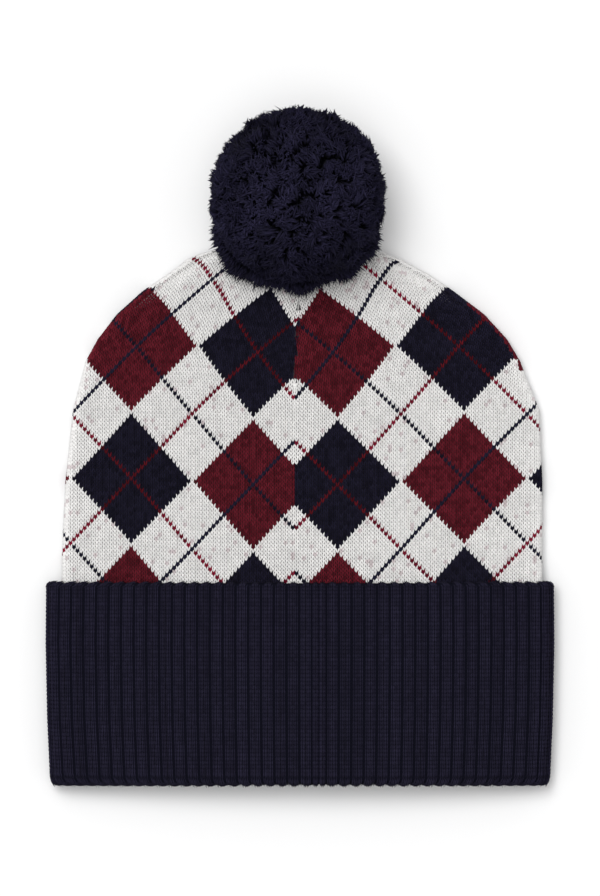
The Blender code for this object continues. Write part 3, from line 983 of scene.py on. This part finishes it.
# %% [markdown]
# The courses run down the face, round the fold at the rim and a little way up inside, so that the
# rim shows a full rounded end for every rib.

# %% Courses of the cuff
# How far round the fold the courses go on, as a share of half a turn
TURNED_SHARE = 0.85
# The second course lies close to the first, where the top edge is rounded
EDGE_COURSE = 0.0007

face_rows = np.concatenate([
    [CUFF_TOP_Y],
    np.arange(CUFF_TOP_Y - EDGE_COURSE, FOLD_Y, -CUFF_COURSE),
])
turn_steps = np.arange(1, round(math.pi * TURNED_SHARE * FOLD_RADIUS / CUFF_COURSE) + 1)
turns = turn_steps * CUFF_COURSE / FOLD_RADIUS
cuff_courses = [cuff_course(row, 0.0) for row in face_rows]
cuff_courses += [cuff_course(FOLD_Y - FOLD_RADIUS * math.sin(turn), turn) for turn in turns]
cuff_edges = np.array(cuff_courses)
print("cuff:", cuff_edges.shape[0], "courses of", cuff_edges.shape[1], "stitches")

# %% Stitch the cuff
CUFF_TINT = (0.0150, 0.0135, 0.0275)
# Least and most that a stitch, and a whole column of them, is darker or lighter
STITCH_LEVELS = (0.84, 1.16)
COLUMN_LEVELS = (0.85, 1.15)
# How much wider than its cell a stitch is
STITCH_OVERLAP = 1.06
# Stitches that face up by at least this belong to the cuff's back
BACK_FACING = -0.2

cuff_middles = cuff_edges.mean(axis=2)
cuff_across = cuff_edges[:, :, 1] - cuff_edges[:, :, 0]
cuff_along = -np.gradient(cuff_middles, axis=0)
cuff_facing = np.cross(cuff_across, cuff_along)
cuff_facing /= np.linalg.norm(cuff_facing, axis=2, keepdims=True)
cuff_middles = cuff_middles - cuff_facing * STITCH_SINK
cuff_middles[..., 2] = np.maximum(cuff_middles[..., 2], UNDER_LIFT)
cuff_levels = chance.uniform(*STITCH_LEVELS, cuff_middles.shape[:2])[..., None]
cuff_levels = cuff_levels * chance.uniform(*COLUMN_LEVELS, cuff_middles.shape[1])[None, :, None]
cuff_tints = np.array(CUFF_TINT) * cuff_levels
# The band was knitted from the rim, so its stitches point the other way once it is turned up
upright_stitch = stitch_of(plain_spindle(), CUFF_LEGS)
turned_stitch = (upright_stitch[0] * (-1.0, -1.0, 1.0), upright_stitch[1])
on_back = cuff_facing[..., 2] > BACK_FACING
for part_name, chosen in {"cuff_back_ribs": on_back, "cuff_front_ribs": ~on_back}.items():
    arrays = repeated(
        turned_stitch,
        cuff_middles[chosen],
        cuff_across[chosen] * STITCH_OVERLAP,
        cuff_along[chosen],
        cuff_facing[chosen],
        cuff_tints[chosen],
    )
    joined_mesh(part_name, *arrays, CUFF_YARN, "cuff_rib")

# %% [markdown]
# ## The two sheets of cloth
#
# The crown was knitted flat, cut, sewn into a tube and gathered at its tip. The cuff is one band,
# sewn round and folded up at the rim. The crown's cut narrows towards the tip.

# %% [markdown]
# ## The pompom
#
# It is a ball of short plush: thousands of soft curved tufts that stand out from a core and press
# each other into clumps. A tuft is one tapering spindle, bent in code. The tufts are spread evenly
# by the golden angle. Each leans towards the middle of its clump, which opens dark gaps between
# the clumps, and a slow wave combs neighbouring clumps the same way. A few shallow creases cut the
# upper side. Tufts that start inside the crown or the floor are left out, and those that reach
# into the crown are lifted onto it.

# %% The pompom's core
POMPOM_CENTRE = np.array((-0.0010, 0.1100, 0.0366))
POMPOM_RADIUS = 0.0392
CORE_SHARE = 0.83

# The core is painted near black: painted shade in the dark gaps between the clumps
pompom_core = backing_of("pompom", "pompom_core", 0.0, POMPOM_SHADE)
for corner in pompom_core.data.vertices:
    corner.co = POMPOM_CENTRE + (np.array(corner.co) - POMPOM_CENTRE) * CORE_SHARE
print("pompom core corners:", len(pompom_core.data.vertices))

# %% Unit tuft
# How far along its length a tuft bends, and how wide its root and its bend are
TUFT_BEND = 0.55
ROOT_WIDTH = 0.7
BEND_WIDTH = 0.9


def unit_tuft():
    """A spindle along Z from 0 to 1, whose one ring between root and tip lets it bend."""
    form = bmesh.new()
    bmesh.ops.create_cone(
        form, cap_ends=True, segments=3, radius1=ROOT_WIDTH, radius2=BEND_WIDTH, depth=TUFT_BEND
    )
    bmesh.ops.translate(form, verts=form.verts, vec=(0.0, 0.0, TUFT_BEND / 2))
    top = max(form.faces, key=lambda face: face.calc_center_median().z)
    bmesh.ops.poke(form, faces=[top], offset=1 - TUFT_BEND)
    return corners_and_faces(form)


TUFT = unit_tuft()
print("triangles in a tuft:", len(TUFT[1]))

# %% Spread the tufts
TUFT_COUNT = 17500
TUFT_LENGTH = 0.0060
CLUMP_COUNT = 800
TUFT_JITTER = 0.012
CLUMP_JITTER = 0.035
# Creases in the plush: both ends in pixels of the photograph, depth as a share of the radius
CREASES = (
    (228.0, 151.0, 242.0, 134.0, 0.090),
    (242.0, 134.0, 264.0, 120.0, 0.090),
    (263.0, 121.0, 264.0, 156.0, 0.070),
    (276.0, 165.0, 300.0, 162.0, 0.060),
    (270.0, 204.0, 290.0, 190.0, 0.070),
    (300.0, 196.0, 316.0, 182.0, 0.060),
)
CREASE_WIDTH = 4.2
# Creases stop short of the ball's widest line
CREASE_LOWEST = 0.05


def spread_directions(count, jitter):
    """Directions spread evenly over a ball by the golden angle, each nudged by chance."""
    numbers = np.arange(count) + 0.5
    polar = np.arccos(1 - 2 * numbers / count)
    golden = math.pi * (1 + math.sqrt(5)) * numbers
    spread = np.stack([
        np.sin(polar) * np.cos(golden),
        np.sin(polar) * np.sin(golden),
        np.cos(polar),
    ], axis=1)
    spread += chance.normal(0, jitter, spread.shape)
    return spread / np.linalg.norm(spread, axis=1, keepdims=True)


directions = spread_directions(TUFT_COUNT, TUFT_JITTER)
clumps = spread_directions(CLUMP_COUNT, CLUMP_JITTER)
clump_of = np.argmax(directions @ clumps.T, axis=1)
print("tufts in a clump:", round(TUFT_COUNT / CLUMP_COUNT, 1))


# %% Waves and creases
# Three sines rarely all peak at once, so a wave is divided by this to reach about 1
WAVE_SIZE = 1.7


def slow_wave(points, turns_round, seed):
    """A smooth vector field that combs neighbouring tufts the same way."""
    phases = np.random.default_rng(seed).uniform(0, math.tau, (3, 3))
    mixed = points @ np.random.default_rng(seed + 1).normal(0, turns_round, (3, 3))
    waves = [np.sin(mixed + phases[axis]).sum(axis=1) for axis in range(3)]
    return np.stack(waves, axis=1) / WAVE_SIZE


def crease_at(directions):
    """How deep the creases cut the ball's upper side in each direction."""
    tips = POMPOM_CENTRE + directions * POMPOM_RADIUS
    seen = np.stack([pixel_column(tips[:, 0]), pixel_row(tips[:, 1])], axis=1)
    depth = np.zeros(len(directions))
    for from_x, from_y, to_x, to_y, deepest in CREASES:
        start = np.array((from_x, from_y))
        step = np.array((to_x, to_y)) - start
        share = np.clip((seen - start) @ step / (step @ step), 0.0, 1.0)
        apart = np.linalg.norm(seen - start - share[:, None] * step, axis=1)
        depth = np.maximum(depth, deepest * np.exp(-((apart / CREASE_WIDTH) ** 2)))
    return np.where(directions[:, 2] > CREASE_LOWEST, depth, 0.0)


# %% Comb the tufts
# How much of the way to its clump's middle a tuft leans, and how much clumps and tufts stray
CLUMP_PULL = 0.72
CLUMP_STRAY = 0.30
TUFT_STRAY = 0.32
COMB_TURNS = 4.0
COMB_SEED = 3
COMB_STRENGTH = 0.16
# How much clumps and tufts stand in or out, as shares of the radius
CLUMP_SWELL = 0.016
TUFT_SWELL = 0.009
# How deep a tuft's root lies below its tip, as a share of its length
ROOT_DEPTH = 0.86
LENGTH_LEVELS = (0.85, 1.12)

clump_lean = chance.normal(0, CLUMP_STRAY, clumps.shape)
gather = (clumps[clump_of] - directions) * POMPOM_RADIUS / TUFT_LENGTH * CLUMP_PULL
wave = slow_wave(directions, COMB_TURNS, COMB_SEED) * COMB_STRENGTH
comb = gather + clump_lean[clump_of] + wave
comb += chance.normal(0, TUFT_STRAY, comb.shape)
comb -= directions * (comb * directions).sum(axis=1, keepdims=True)
clump_swell = chance.normal(0, CLUMP_SWELL, CLUMP_COUNT)
crease = crease_at(directions)
swell = 1 + clump_swell[clump_of] + chance.normal(0, TUFT_SWELL, TUFT_COUNT) - crease
tip_radius = POMPOM_RADIUS * swell
root = POMPOM_CENTRE + directions * (tip_radius - TUFT_LENGTH * ROOT_DEPTH)[:, None]
lengths = TUFT_LENGTH * chance.uniform(*LENGTH_LEVELS, TUFT_COUNT)
print("tuft tips, mm from the middle:", (tip_radius.mean() * 1000).round(1))

# %% [markdown]
# A tuft starts straight out of the ball and bends towards its lean. Its root is darker than its
# tip, because less light gets down to it.


# %% Bend tufts and rest them on the crown
PLUSH_TINT = (0.0152, 0.0138, 0.0320)
# A tuft's outward reach falls off by this share of the squared way along it
REACH_LOSS = 0.25
LEAN_POWER = 1.6
ROOT_LEVEL = 0.35
TIP_LEVEL = 0.85
FADE_POWER = 1.3
# Added to a lean, so that it never lies exactly along the outward direction
NUDGE = (0.013, 0.017, 0.011)
# Tuft corners before the crown's tip and below its top are lifted clear of the stitches
CROWN_TIP_Y = 0.0915
CROWN_TOP_Z = 0.024
STITCH_CLEARANCE = 0.0007


def bent_tufts(roots, outward, lean, lengths, widths, levels):
    """Corners, faces and colours of tufts that start outward and bend towards their lean."""
    corners, faces = TUFT
    side = np.cross(outward, lean + NUDGE)
    side /= np.linalg.norm(side, axis=1, keepdims=True)
    other = np.cross(outward, side)
    height = corners[None, :, 2:3]
    rise = outward[:, None, :] * (height - REACH_LOSS * height**2)
    spine = rise + lean[:, None, :] * height**LEAN_POWER
    round_it = corners[None, :, 0:1] * side[:, None, :] + corners[None, :, 1:2] * other[:, None, :]
    placed = roots[:, None, :] + spine * lengths[:, None, None] + round_it * widths[:, None, None]
    fade = ROOT_LEVEL + TIP_LEVEL * corners[None, :, 2] ** FADE_POWER
    tints = np.array(PLUSH_TINT)[None, None, :] * (levels[:, None] * fade)[..., None]
    steps = np.arange(len(roots))[:, None, None] * len(corners)
    return placed, (faces[None] + steps).reshape(-1, 3), tints.reshape(-1, 3)


def rests_on_crown(points):
    """Lift points that would be inside the crown onto its upper face."""
    flat_points = points.reshape(-1, 3)
    near = (flat_points[:, 1] < CROWN_TIP_Y) & (flat_points[:, 2] < CROWN_TOP_Z)
    for number in np.nonzero(near)[0]:
        x, y, z = flat_points[number]
        below = dropped_on(x, y, True)
        if below is not None:
            flat_points[number, 2] = max(z, below.z + STITCH_CLEARANCE)
    return flat_points


# %% Plant the tufts that the crown and the floor leave room for
TUFT_WIDTH = 0.00075
WIDTH_LEVELS = (0.8, 1.2)
TUFT_LEVELS = (0.7, 1.35)
# Slow changes of brightness over the ball, and how much a crease darkens its tufts
SLOW_TURNS = 6.0
SLOW_SEED = 33
SLOW_STRENGTH = 0.25
CREASE_SHADE = 8.0
# Roots before this place along the hat and below this height would be in the crown
COVERED_Y = 0.0925
COVERED_Z = 0.0215
LOWEST_ROOT = 0.0004

in_crown = (root[:, 1] < COVERED_Y) & (root[:, 2] < COVERED_Z)
kept = ~in_crown & (root[:, 2] >= LOWEST_ROOT)
slow = SLOW_STRENGTH * slow_wave(directions, SLOW_TURNS, SLOW_SEED)[:, 1]
levels = chance.uniform(*TUFT_LEVELS, TUFT_COUNT) * (1 + slow)
levels *= 1 - crease * CREASE_SHADE
ball, ball_faces, ball_tints = bent_tufts(
    root[kept],
    directions[kept],
    comb[kept],
    lengths[kept],
    TUFT_WIDTH * chance.uniform(*WIDTH_LEVELS, kept.sum()),
    levels[kept],
)
ball = rests_on_crown(ball)
joined_mesh("pompom_tufts", ball, ball_faces, ball_tints, PLUSH_YARN, "pompom_yarn")

# %% [markdown]
# Along its lower edge the ball's thinnest tufts stick out over the crown in a ragged fringe. Their
# tips reach as far as the fringe's outline in the photograph, which was measured.

# %% Fringe over the crown
FRINGE_COUNT = 3000
FRINGE_WIDTH = 0.0006
FRINGE_LENGTHS = (0.0024, 0.0046)
FRINGE_LEVELS = (0.7, 1.3)
FRINGE_STRAY = 0.38
# Lowest and highest slope below level, in degrees
FRINGE_SLOPES = (-28, -4)
# How much of its length a fringe tuft adds to its reach, and how far in its root may start
FRINGE_GAIN = 0.85
FRINGE_STARTS = (0.93, 1.0)
# Fringe tufts lean out in their own direction, but droop more than they spread
FRINGE_DROOP = (0.5, 0.5, 1.0)
# Bearing in degrees, and how far the fringe reaches there from the ball's middle, in pixels
FRINGE_REACH = (
    (200.0, 88.5),
    (210.0, 93.0),
    (219.0, 96.0),
    (229.0, 101.0),
    (238.0, 95.0),
    (247.0, 95.0),
    (258.0, 90.0),
    (271.0, 96.0),
    (284.0, 90.0),
    (294.0, 89.0),
    (303.0, 96.0),
    (312.0, 91.0),
    (324.0, 93.0),
    (335.0, 88.5),
)
bearings = column_of(FRINGE_REACH, 0)
fringe_bearing = chance.uniform(bearings[0], bearings[-1], FRINGE_COUNT)
fringe_turn = np.radians(fringe_bearing)
fringe_rise = chance.uniform(*map(math.radians, FRINGE_SLOPES), FRINGE_COUNT)
fringe_lengths = chance.uniform(*FRINGE_LENGTHS, FRINGE_COUNT)
fringe_reach = np.interp(fringe_bearing, bearings, column_of(FRINGE_REACH, 1)) * PIXEL
fringe_radius = fringe_reach - fringe_lengths * FRINGE_GAIN
fringe_radius *= chance.uniform(*FRINGE_STARTS, FRINGE_COUNT)
fringe_radius /= np.cos(fringe_rise)
print("fringe roots, mm from the middle:", (fringe_radius.mean() * 1000).round(1))

# %% Plant the fringe
fringe_out = np.stack([
    np.cos(fringe_turn) * np.cos(fringe_rise),
    np.sin(fringe_turn) * np.cos(fringe_rise),
    np.sin(fringe_rise),
], axis=1)
fringe_root = POMPOM_CENTRE + fringe_out * fringe_radius[:, None]
fringe_lean = fringe_out * FRINGE_DROOP
fringe_lean += chance.normal(0, FRINGE_STRAY, fringe_lean.shape)
fringe, fringe_faces, fringe_tints = bent_tufts(
    fringe_root,
    fringe_out,
    fringe_lean,
    fringe_lengths,
    np.full(FRINGE_COUNT, FRINGE_WIDTH),
    chance.uniform(*FRINGE_LEVELS, FRINGE_COUNT),
)
fringe = rests_on_crown(fringe)
joined_mesh("pompom_fringe", fringe, fringe_faces, fringe_tints, PLUSH_YARN, "pompom_yarn")

# %% [markdown]
# The tie is hidden inside the gathered tip. It keeps its CAD form and gets plain navy yarn.

# %% Tie
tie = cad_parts["pompom_tie"]
tie.data.materials.clear()
tie.data.materials.append(TIE_YARN)
print("tie corners:", len(tie.data.vertices))
